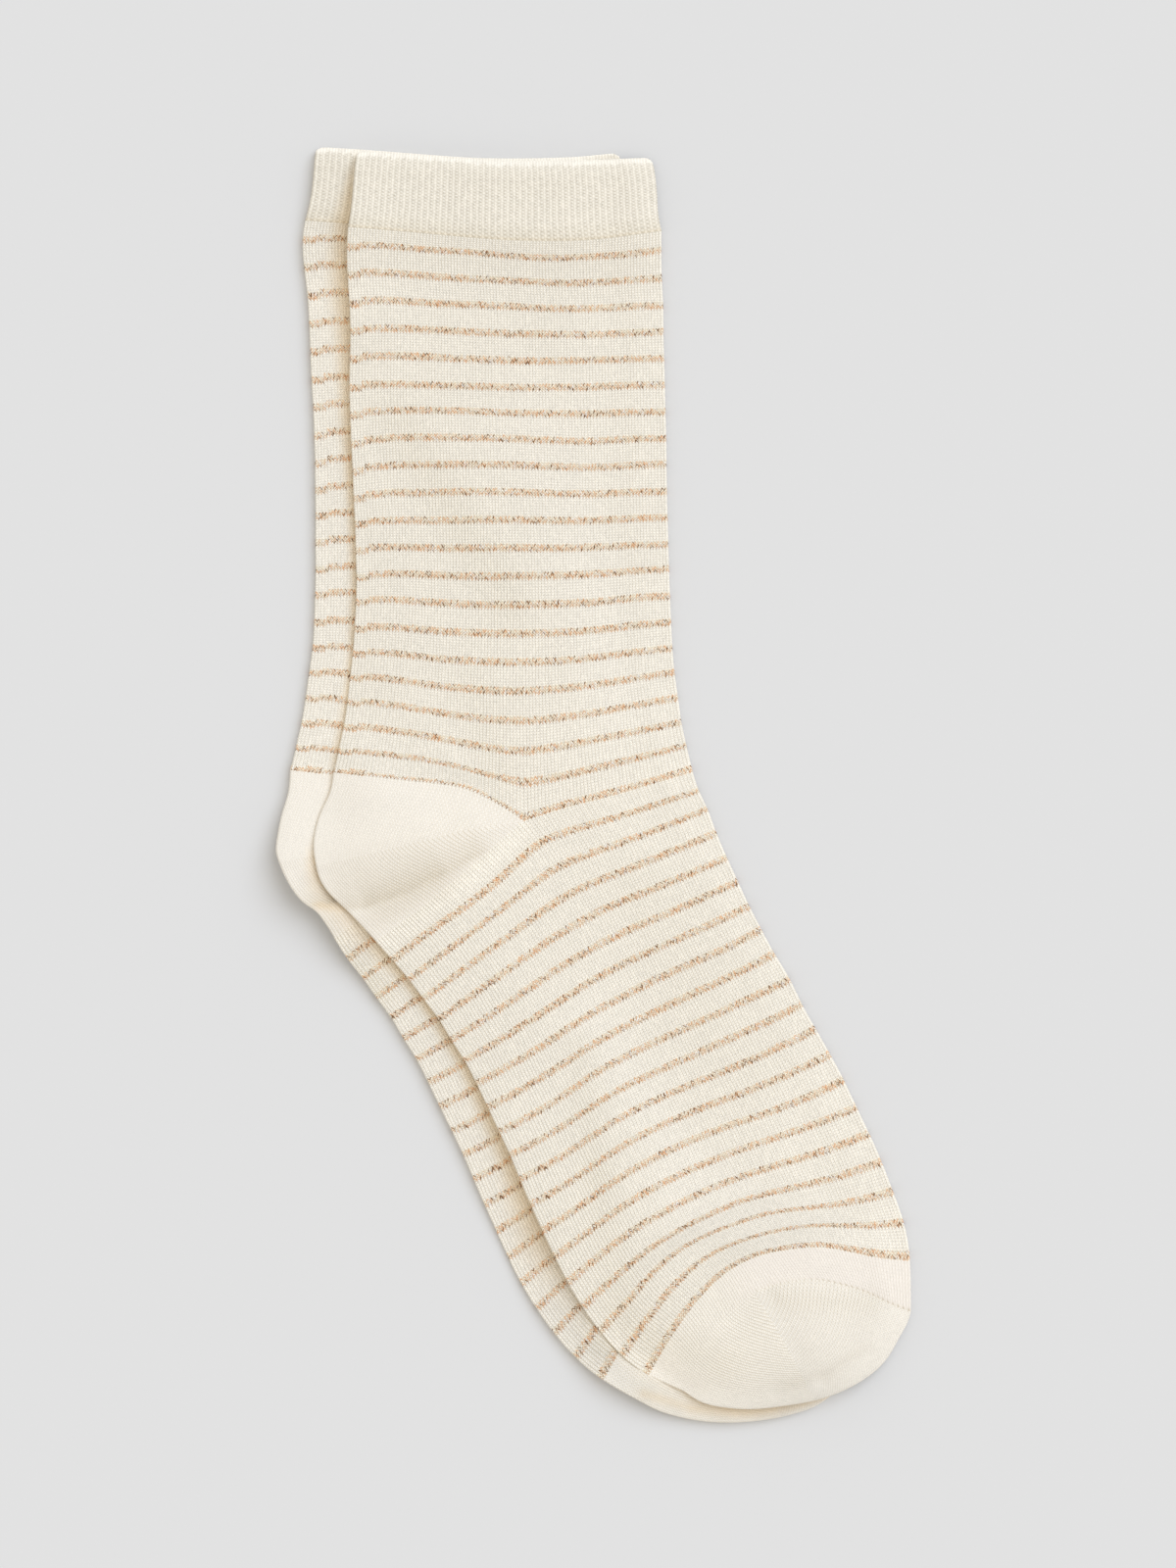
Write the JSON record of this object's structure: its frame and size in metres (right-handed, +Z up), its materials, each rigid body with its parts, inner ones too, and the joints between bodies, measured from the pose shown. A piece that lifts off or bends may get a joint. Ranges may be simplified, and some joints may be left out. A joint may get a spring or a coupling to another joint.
{
  "type": "pair of socks",
  "caption": "Pair of fine-knit crew socks laid flat in side view, one over the other, cream with thin gold-brown lurex stripes and plain cuffs, heels and toes.",
  "frame": {"origin": "on the table, under the middle of the pair's bounding box", "axes": "+Y along the legs towards the cuffs, +X towards the instep side, +Z up from the table through the flattened layers"},
  "size_m": [0.1844, 0.37, 0.0088],
  "materials": {
    "cuff_welt": "matt doubled fine rib knit, warm cream",
    "striped_knit": "matt fine plain knit, warm cream with thin gold-brown lurex stripes",
    "heel_knit": "matt fine plain knit, light cream",
    "toe_knit": "matt fine plain knit, cream"
  },
  "bodies": {
    "root": {"lower_sock_cuff": "cuff_welt", "lower_sock_leg": "striped_knit", "lower_sock_heel": "heel_knit", "lower_sock_foot": "striped_knit", "lower_sock_toe": "toe_knit", "upper_sock_cuff": "cuff_welt", "upper_sock_leg": "striped_knit", "upper_sock_heel": "heel_knit", "upper_sock_foot": "striped_knit", "upper_sock_toe": "toe_knit"}
  },
  "joints": []
}
